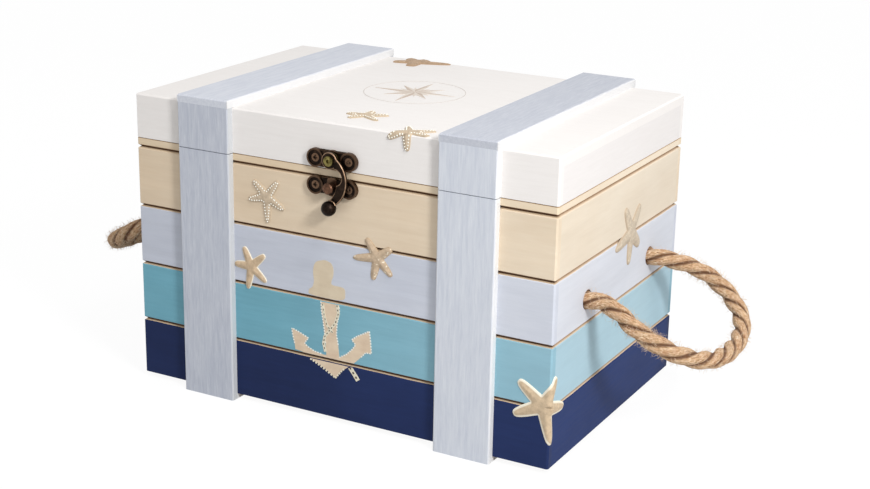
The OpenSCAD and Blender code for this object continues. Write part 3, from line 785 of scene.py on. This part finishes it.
for side, sign in SIDES:
    for place, y in (("front", -HOLE_Y), ("back", HOLE_Y)):
        knot = rope_mesh(f"rope_knot_{side}_{place}", knot_path(sign, y), strand_r=1.9, strand_out=1.6,
                         lay=24, seed=31 + sign + int(y > 0))
        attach(knot, "base")
    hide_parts(f"rope_ends_{side}")


# Starfish
STAR_T = 1.3
ROUNDING = 1.2
RAYS = 200
SHELLS = 13
ARM_ROOT = 0.25
ARM_TAPER = 0.11
TIP_SHARP = 7
ARM_HALF = 0.2
SHELL_CROWDING = 1.5
STAR_SINK = 0.25
SHOULDER = 0.55
SKIN_RIDGE = 0.3
BEAD_RIDGE = 0.55
BEAD_H = 0.8
BEAD_SINK = 0.1
BEAD_ROOM = 0.7


def star_outline(reach, arms):
    """Points round a starfish. Arms are (angle, share of the reach), each with a round tip."""
    angles = np.linspace(0, 2 * math.pi, RAYS, endpoint=False)
    tips = sorted((math.radians(a % 360), share) for a, share in arms)
    outline = []
    for angle in angles:
        gap, share = min(((abs(math.remainder(angle - tip, 2 * math.pi)), share) for tip, share in tips))
        side = ARM_ROOT / (math.sin(gap) + ARM_TAPER)
        out = reach * (share ** -TIP_SHARP + side ** -TIP_SHARP) ** (-1 / TIP_SHARP)
        outline.append((out * math.cos(angle), out * math.sin(angle)))
    return np.array(outline)


def nearest(points, spot):
    """How far a spot is from the nearest of some points."""
    return math.sqrt(((points - spot) ** 2).sum(axis=1).min())


def dome(gap, reach, ridge):
    """A starfish's rise, from 0 at the rim to 1 on the ridge, and its height there."""
    rise = min(gap / (ARM_HALF * reach), 1)
    return rise, STAR_T * math.sqrt(1 - (1 - rise) ** 2) * (SHOULDER + ridge * rise)


def flat_place(axis):
    """Places a starfish's own (across, up, proud) on one flat face."""
    def place(p, centre):
        u, v, h = p
        if axis == "front":
            return (centre[0] + u, -HALF_D - h, centre[1] + v)
        if axis == "right":
            return (HALF_W + h, centre[0] + u, centre[1] + v)
        return (centre[0] + u, centre[1] + v, LID_TOP + h)
    return place


def bend_round(s, h):
    """Round an edge: s is the way across it from the first face to the second, h the height above.
    Gives (how far inside the second face's plane, how far outside the first face's)."""
    half_arc = ROUNDING * math.pi / 4
    if s < -half_arc:
        return ROUNDING - (s + half_arc), h
    if s > half_arc:
        return -h, -(ROUNDING + s - half_arc)
    angle = (s + half_arc) / ROUNDING
    return ROUNDING - (ROUNDING + h) * math.sin(angle), -ROUNDING + (ROUNDING + h) * math.cos(angle)


def corner_place(p, centre):
    """Round the front right corner: across runs along the front and then along the side."""
    u, v, h = p
    inside, out = bend_round(centre[0] + u - HALF_W, h)
    return (HALF_W - inside, -HALF_D - out, centre[1] + v)


def lid_edge_place(face):
    """Over the lid's front (-1) or back (1) edge: up runs from the front to the back."""
    def place(p, centre):
        u, v, h = p
        inside, out = bend_round(face * (centre[1] + v) - HALF_D, h)
        return (centre[0] + u, face * (HALF_D - inside), LID_TOP + out)
    return place


def starfish(name, reach, arms, centre, place, material, beads):
    """A domed starfish with a ridge down each arm, on a face or bent round an edge."""
    edge = star_outline(reach, arms)
    dense = np.vstack([edge, (edge + np.roll(edge, -1, axis=0)) / 2])
    points, uvs = [], []
    for shell in range(SHELLS):
        out = 1 - (shell / (SHELLS - 1)) ** SHELL_CROWDING
        sink = STAR_SINK if shell == 0 else 0
        for k in range(RAYS):
            spot = edge[k] * out
            rise, height = dome(nearest(dense, spot), reach, SKIN_RIDGE)
            points.append(place((spot[0], spot[1], height - sink), centre))
            uvs.append((rise, k / RAYS))
    faces = grid_faces(SHELLS, RAYS)
    piece = make_mesh(name, points, faces, material, uvs)
    fix_normals(piece, join=True)
    made = [piece]
    if beads:
        made.append(star_beads(name + "_beads", edge, reach, centre, place, *beads))
    return made


def star_beads(name, edge, reach, centre, place, size, pitch, inset):
    """Small raised dots in a row inside the outline."""
    step = np.roll(edge, -1, axis=0) - np.roll(edge, 1, axis=0)
    row = edge + unit(np.column_stack([-step[:, 1], step[:, 0]])) * inset
    run = run_along(row)
    rings, sides = 4, 8
    points, faces = [], []
    for mark in np.arange(0, run[-1], pitch):
        u, v = point_at(mark, run, row)
        gap = nearest(edge, (u, v))
        if gap < BEAD_ROOM * inset:
            continue
        _, lift = dome(gap, reach, BEAD_RIDGE)
        start = len(points)
        for r in range(rings):
            tilt = math.pi / 2 * r / (rings - 1)
            spread = size * math.cos(tilt) if r < rings - 1 else 0.02 * size
            for k in range(sides):
                a = 2 * math.pi * k / sides
                points.append(place((u + spread * math.cos(a), v + spread * math.sin(a),
                                     lift - BEAD_SINK + BEAD_H * size * math.sin(tilt)), centre))
        faces += grid_faces(rings, sides, start)
        faces.append(tuple(start + (rings - 1) * sides + k for k in range(sides)))
    piece = make_mesh(name, points, faces, BEAD)
    fix_normals(piece)
    return piece


BEAD = plain_finish("star_bead", 700, (240, 236, 222), (250, 248, 240), 0.45, 0.4)
SKIN_BEADED = star_skin("star_skin_beaded", (208, 188, 162), (196, 176, 148), 0.2, 0.06)
SKIN_RIMMED = star_skin("star_skin_rimmed", (214, 190, 158), (246, 240, 222), 0.1, 0.26)
SKIN_RIMMED_SMALL = star_skin("star_skin_rimmed_small", (210, 184, 152), (242, 234, 214), 0.1, 0.12)
SKIN_SPECKLED = star_skin("star_skin_speckled", (206, 182, 154), (176, 150, 118), 0.9, 0.05, 620)
SKIN_PALE = star_skin("star_skin_pale", (208, 192, 170), (186, 166, 142), 0.6, 0.16)
SKIN_DARK = star_skin("star_skin_dark", (186, 156, 126), (170, 140, 110), 0.3, 0.12)

ARMS_PLAIN = [(41, 0.98), (114, 0.95), (181, 0.9), (260, 1.12), (322, 1.02)]
ARMS_BEADED = [(52, 1), (137, 0.96), (194, 1), (272, 1.2), (332, 1.02)]
ARMS_SPECKLED = [(36, 0.85), (125, 0.96), (189, 1.22), (259, 1.06), (315, 1.03)]
ARMS_CORNER = [(59, 0.94), (142, 0.98), (205, 1), (283, 1.18), (347, 1.06)]
ARMS_SIDE = [(49, 0.93), (123, 0.99), (193, 1.18), (264, 0.98), (320, 0.87)]
ARMS_LID = [(28, 1.03), (94, 0.8), (185, 0.9), (242, 0.87), (328, 1.1)]
ARMS_FRONT_EDGE = [(38, 1.1), (125, 0.9), (212, 1.05), (272, 1), (350, 1)]
ARMS_BACK_EDGE = [(15, 1.14), (75, 0.75), (142, 0.65), (203, 0.79), (278, 0.66)]

# Beads: their size, the way from one to the next, and how far in from the outline they lie
BEADS = (0.42, 1.5, 0.95)
stars = [
    ("star_upper_left", STAR_R, ARMS_BEADED, (-STRAP_IN + 20.4, groove_z(2) + 16.7),
     flat_place("front"), SKIN_BEADED, BEADS, "starfish_front", "base"),
    ("star_lower_left", STAR_R, ARMS_PLAIN, (-STRAP_IN + 10.2, groove_z(1) + 10),
     flat_place("front"), SKIN_RIMMED_SMALL, None, None, "base"),
    ("star_middle", STAR_R, ARMS_SPECKLED, (STRAP_IN - 34.5, groove_z(2) - 4.2),
     flat_place("front"), SKIN_SPECKLED, None, None, "base"),
    ("star_corner", BIG_STAR_R, ARMS_CORNER, (HALF_W - 3.3, groove_z(0) + 1.7),
     corner_place, SKIN_RIMMED, None, "starfish_corner", "base"),
    ("star_side", BIG_STAR_R, ARMS_SIDE, (12.5, groove_z(2) + 0.7),
     flat_place("right"), SKIN_PALE, None, "starfish_side", "base"),
    ("star_lid", STAR_R, ARMS_LID, (5, -HALF_D + 21.3),
     flat_place("top"), SKIN_BEADED, BEADS, "starfish_lid", "lid"),
    ("star_lid_front", STAR_R, ARMS_FRONT_EDGE, (STRAP_IN - 19.1, -HALF_D + 3.3),
     lid_edge_place(-1), SKIN_BEADED, BEADS, "starfish_lid_edge", "lid"),
    ("star_lid_back", BIG_STAR_R, ARMS_BACK_EDGE, (-STRAP_IN + 21.7, HALF_D - 7),
     lid_edge_place(1), SKIN_DARK, None, None, "lid"),
]
for name, reach, arms, centre, place, skin, beads, node, body in stars:
    for piece in starfish(name, reach, arms, centre, place, skin, beads):
        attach(piece, body)
        if node and not piece.name.endswith("_beads"):
            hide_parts(node)


# The painted anchor
INK_T = 0.09
LAYER_T = 0.006
LAYERS = 8
INK_SINK = 0.05
CORNER_CUTS = 2
CORNER_SHARE = 0.2


def flat_shapes(name, shapes, face, material, body, extra, cuts=()):
    """Thin painted shapes on a face, extra higher than the lowest ink. A shape is a list of (across,
    up) points, and a cut is the (low, high) of a strip that stays bare."""
    place = flat_place(face)
    points, faces = [], []
    for layer, shape in enumerate(shapes):
        start = len(points)
        points += [(u, v, layer % LAYERS * LAYER_T) for u, v in shape]
        faces.append(tuple(range(start, start + len(shape))))
    mesh = bpy.data.meshes.new(name)
    mesh.from_pydata(points, [], faces)
    work = bmesh.new()
    work.from_mesh(mesh)
    for low, high in cuts:
        for height in (low, high):
            everything = work.verts[:] + work.edges[:] + work.faces[:]
            bmesh.ops.bisect_plane(work, geom=everything, plane_co=(0, height, 0), plane_no=(0, 1, 0))
        inside = [f for f in work.faces if low < f.calc_center_median().y < high]
        bmesh.ops.delete(work, geom=inside, context="FACES")
    bmesh.ops.triangulate(work, faces=work.faces)
    rim = [e for e in work.edges if len(e.link_faces) == 1]
    upper = {v: tuple(v.co) for v in work.verts}
    for vert, (u, v, h) in upper.items():
        vert.co = Vector(place((u, v, INK_T + h + extra), (0, 0))) * MM
    lower = {}
    for edge in rim:
        for vert in edge.verts:
            if vert not in lower:
                u, v, _ = upper[vert]
                lower[vert] = work.verts.new(Vector(place((u, v, -INK_SINK), (0, 0))) * MM)
    for edge in rim:
        a, b = edge.verts
        work.faces.new((a, b, lower[b], lower[a]))
    bmesh.ops.recalc_face_normals(work, faces=work.faces)
    work.to_mesh(mesh)
    work.free()
    mesh.materials.append(material)
    piece = add_object(name, mesh)
    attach(piece, body)


def soft_outline(points):
    """Cuts an outline's corners, so that it turns softly."""
    for _ in range(CORNER_CUTS):
        made = []
        for i, (u, v) in enumerate(points):
            nu, nv = points[(i + 1) % len(points)]
            for share in (CORNER_SHARE, 1 - CORNER_SHARE):
                made.append(((1 - share) * u + share * nu, (1 - share) * v + share * nv))
        points = made
    return points


def ribbon(points, width):
    """A strip of even width along points."""
    line = np.array(points, dtype=float)
    step = unit(np.gradient(line, axis=0))
    side = np.column_stack([-step[:, 1], step[:, 0]]) * width / 2
    return [tuple(p) for p in line + side] + [tuple(p) for p in (line - side)[::-1]]


def dashes(points, width, length, gap):
    """Short strips along a line of points, with gaps between them."""
    line = np.array(points, dtype=float)
    run = run_along(line)
    return [ribbon([point_at(mark, run, line), point_at(mark + length, run, line)], width)
            for mark in np.arange(0, run[-1] - length, length + gap)]


HEAD = soft_outline([(-11.6, 82.5), (-10.1, 84.8), (-4.9, 86.4), (-1.3, 85.3), (0.1, 82.4),
                     (-0.1, 78.7), (-1.3, 75.7), (-1.3, 73.8), (5.7, 73.8), (6.9, 72.3), (6.7, 66.4),
                     (-15, 66.4), (-14.5, 69.5), (-12.2, 70.9), (-11.4, 74.2), (-12.1, 78.7)])
SHANK = [(-7.4, 64), (-7.1, 59.2), (-6.3, 54.8), (-5.6, 50.4), (-5.1, 45.9), (-4.6, 41.4),
         (-4.2, 34.6), (3.6, 34.6), (2.7, 42.9), (1.7, 48.1), (2.1, 54.2), (3.4, 59.5), (3.3, 64)]
LEFT_ARM = [(-25, 46.5), (-21, 45.3), (-14.9, 43), (-17.4, 39.8), (-15.5, 38.3), (-11.4, 36.6),
            (-5.9, 35.9), (-0.4, 35.9), (1.1, 24.7), (-4.4, 28.2), (-8.4, 30.1), (-13.9, 32.4),
            (-18.5, 34.9), (-22.9, 35.4), (-23.3, 38.6), (-24.2, 42.1)]
RIGHT_ARM = [(-0.4, 35.9), (3.4, 36.2), (7.7, 38.8), (11.2, 42.3), (13, 45), (10.7, 47.2),
             (13.7, 49.6), (17.7, 51.8), (20.8, 53.7), (21.5, 48.9), (22.1, 42.1), (18.8, 41.9),
             (15.8, 38.6), (11.8, 34.6), (7.2, 31), (4.7, 29.1), (1.1, 24.7)]
WINDING = [(-6.3, 63), (-5.4, 56.8), (-3.8, 52.1), (-0.4, 48.7)]
WINDING_LOOP = [(2.1, 63.8), (2.9, 59.4), (1.1, 54), (-2.3, 49.6), (-5.1, 45.9), (-5.9, 42.1),
                (-4.8, 37.7)]
LOOSE_END = [(9.7, 32.2), (11.8, 29.6), (14.5, 26.1)]
OUTLINE_LEFT = [(-13.9, 32.1), (-8.4, 29.7), (-4.4, 27.7), (1.1, 24.7)]
OUTLINE_RIGHT = [(1.1, 24.7), (4.7, 29.1), (6.7, 31.1)]

EDGES = [LEFT_ARM[-2:] + LEFT_ARM[:7], RIGHT_ARM[1:13], SHANK[:6], SHANK[8:]]
INK_FADED = print_ink("ink_faded", (218, 203, 178), (210, 193, 167))
INK_SAND = print_ink("ink_sand", (226, 206, 180), (214, 190, 164))
INK_PALE = print_ink("ink_pale", (236, 230, 208), (220, 212, 190), 400)
INK_WHITE = print_ink("ink_white", (246, 244, 236), (234, 230, 218), 400)
INK_DARK = print_ink("ink_dark", (112, 102, 86), (70, 62, 58), 400)
GROOVES = [(groove_z(i) - GROOVE_HALF_W, groove_z(i) + GROOVE_HALF_W) for i in (0, 1)]

# The anchor's layers of ink: name, shapes, ink and how much higher it lies than the lowest
ANCHOR = [
    ("anchor_head", [HEAD], INK_FADED, 0.0),
    ("anchor_body", [SHANK, LEFT_ARM, RIGHT_ARM], INK_SAND, 0.0),
    ("anchor_edges", [dash for edge in EDGES for dash in dashes(edge, 0.7, 0.8, 0.7)], INK_WHITE, 0.05),
    ("anchor_rope", [ribbon(WINDING, 1.4), ribbon(WINDING_LOOP, 1.6), ribbon(LOOSE_END, 2.4)],
     INK_PALE, 0.1),
    ("anchor_lay", dashes(WINDING, 0.4, 0.9, 1.6) + dashes(WINDING_LOOP, 0.5, 0.9, 1.3)
     + dashes(LOOSE_END, 0.9, 1.1, 1.6), INK_DARK, 0.16),
    ("anchor_stitches", dashes(OUTLINE_LEFT, 0.9, 0.9, 0.8) + dashes(OUTLINE_RIGHT, 0.9, 0.9, 0.8),
     INK_PALE, 0.1),
]
for name, shapes, ink, extra in ANCHOR:
    flat_shapes(name, shapes, "front", ink, "base", extra, GROOVES)


# The compass rose on the lid
ROSE_X = -1
ROSE_Y = 3
ROSE_R = 26.8
RING_W = 0.28
RING_PARTS = 96
LONG_POINT = 23
SHORT_POINT = 17
WAIST_R = 5.4
SMALL_POINT = 11
SMALL_WAIST_R = 4


def around(angle, radius):
    return (ROSE_X + radius * math.cos(angle), ROSE_Y + radius * math.sin(angle))


def rose_ring():
    """The thin ring round the rose, as short four-sided strips."""
    inner = ROSE_R - RING_W
    turns = [2 * math.pi * k / RING_PARTS for k in range(RING_PARTS + 1)]
    return [[around(a, inner), around(b, inner), around(b, ROSE_R), around(a, ROSE_R)]
            for a, b in zip(turns, turns[1:])]


def rose_points(reach, first, waist):
    """Four points, each as a light and a dark half."""
    light, dark = [], []
    for k in range(4):
        a = first + k * math.pi / 2
        tip = around(a, reach)
        light.append([(ROSE_X, ROSE_Y), around(a - math.pi / 8, waist), tip])
        dark.append([(ROSE_X, ROSE_Y), tip, around(a + math.pi / 8, waist)])
    return light, dark


INK_ROSE_LIGHT = print_ink("ink_rose_light", (224, 214, 203), (217, 206, 194))
INK_ROSE_DARK = print_ink("ink_rose_dark", (204, 188, 174), (192, 175, 160))
INK_ROSE_RING = print_ink("ink_rose_ring", (210, 203, 195), (200, 193, 185))
ROSE_TURN = math.radians(4)
cross_light, cross_dark = rose_points(LONG_POINT, ROSE_TURN, WAIST_R)
slant_light, slant_dark = rose_points(SHORT_POINT, ROSE_TURN + math.pi / 4, WAIST_R)
small_points = [shape for k in (1, 3)
                for half in rose_points(SMALL_POINT, ROSE_TURN + k * math.pi / 8, SMALL_WAIST_R)
                for shape in half]

# The rose's layers, as for the anchor
ROSE = [
    ("rose_small", small_points, INK_ROSE_LIGHT, 0.0),
    ("rose_slant_light", slant_light, INK_ROSE_LIGHT, 0.03),
    ("rose_slant_dark", slant_dark, INK_ROSE_DARK, 0.03),
    ("rose_cross_light", cross_light, INK_ROSE_LIGHT, 0.06),
    ("rose_cross_dark", cross_dark, INK_ROSE_DARK, 0.06),
    ("rose_rings", rose_ring(), INK_ROSE_RING, 0.0),
]
for name, shapes, ink, extra in ROSE:
    flat_shapes(name, shapes, "top", ink, "lid", extra)


# Floor, light and camera: lengths in metres, angles in degrees
FLOOR_HALF = 6.0
FLOOR_GREY = (0.6, 0.6, 0.6, 1)
FLOOR_ROUGHNESS = 0.8
FLOOR_GLOW = 1.085
GLOW_SHARE = 0.86
FILL_STRENGTH = 0.58
WHITE = (1, 1, 1, 1)
LIT_PLACE = Vector((0, 0, 0.08))
CAMERA_PLACE = (0.4100, -0.7294, 0.3424)
CAMERA_TURN = (28.471, 17.773, 1.114)
CAMERA_LENS = 67.89
CAMERA_SENSOR = 36


def show_apart(tree, output, lit, shown):
    """Gives an output one shader as it is lit and lights, and another for the rays that show it: to
    the camera, in a reflection or through glass."""
    nodes, links = tree.nodes, tree.links
    rays = nodes.new("ShaderNodeLightPath")
    total = rays.outputs["Is Camera Ray"]
    for kind in ("Is Glossy Ray", "Is Transmission Ray"):
        joined = nodes.new("ShaderNodeMath")
        joined.operation = "MAXIMUM"
        links.new(total, joined.inputs[0])
        links.new(rays.outputs[kind], joined.inputs[1])
        total = joined.outputs[0]
    mixer = nodes.new("ShaderNodeMixShader")
    for socket, source in zip(mixer.inputs, (total, lit.outputs[0], shown.outputs[0])):
        links.new(source, socket)
    links.new(mixer.outputs[0], nodes[output].inputs[0])


def make_floor():
    """A white floor that stays white to the camera, apart from the object's soft shadow."""
    mesh = bpy.data.meshes.new("floor")
    corners = [(u * FLOOR_HALF, v * FLOOR_HALF, 0) for u, v in ((-1, -1), (1, -1), (1, 1), (-1, 1))]
    mesh.from_pydata(corners, [], [(0, 1, 2, 3)])
    floor = add_object("floor", mesh)
    material = bpy.data.materials.new("floor_white")
    material.use_nodes = True
    nodes, links = material.node_tree.nodes, material.node_tree.links
    shader = nodes["Principled BSDF"]
    set_inputs(shader, {"Base Color": FLOOR_GREY, "Roughness": FLOOR_ROUGHNESS})
    glow = nodes.new("ShaderNodeEmission")
    glow.inputs["Strength"].default_value = FLOOR_GLOW
    mixer = nodes.new("ShaderNodeMixShader")
    mixer.inputs[0].default_value = GLOW_SHARE
    links.new(shader.outputs[0], mixer.inputs[1])
    links.new(glow.outputs[0], mixer.inputs[2])
    show_apart(material.node_tree, "Material Output", shader, mixer)
    mesh.materials.append(material)


def make_world():
    """White behind the object, and a softer white as the fill light."""
    world = bpy.data.worlds.new("studio")
    bpy.context.scene.world = world
    world.use_nodes = True
    nodes = world.node_tree.nodes
    fill = nodes["Background"]
    set_inputs(fill, {"Color": WHITE, "Strength": FILL_STRENGTH})
    backdrop = nodes.new("ShaderNodeBackground")
    set_inputs(backdrop, {"Color": WHITE, "Strength": 1.0})
    show_apart(world.node_tree, "World Output", fill, backdrop)


def make_softbox(name, place, size, power):
    """A square lamp that is turned towards the box."""
    lamp = bpy.data.lights.new(name, "AREA")
    lamp.shape = "RECTANGLE"
    lamp.size = size
    lamp.size_y = size
    lamp.energy = power
    light = add_object(name, lamp)
    light.location = place
    light.rotation_euler = (LIT_PLACE - Vector(place)).to_track_quat("-Z", "Y").to_euler()


make_floor()
make_world()
make_softbox("key_softbox", (0.79, -0.5, 0.66), 0.16, 6.4)
make_softbox("top_softbox", (0.42, -0.3, 0.95), 0.2, 2.15)


def make_camera():
    """The photograph's camera, from its azimuth, elevation and roll."""
    azimuth, elevation, roll = (math.radians(a) for a in CAMERA_TURN)
    back = Vector((math.sin(azimuth) * math.cos(elevation), -math.cos(azimuth) * math.cos(elevation),
                   math.sin(elevation)))
    right = Vector((math.cos(azimuth), math.sin(azimuth), 0))
    up = back.cross(right)
    rolled_right = math.cos(roll) * right + math.sin(roll) * up
    rolled_up = -math.sin(roll) * right + math.cos(roll) * up
    lens = bpy.data.cameras.new("photo_camera")
    lens.sensor_width = CAMERA_SENSOR
    lens.lens = CAMERA_LENS
    lens.clip_start = 0.01
    camera = add_object("photo_camera", lens)
    turn = Matrix((rolled_right, rolled_up, back)).transposed().to_4x4()
    camera.matrix_world = Matrix.Translation(CAMERA_PLACE) @ turn
    bpy.context.scene.camera = camera


make_camera()
bpy.context.scene.view_settings.view_transform = "Standard"
bpy.context.view_layer.update()
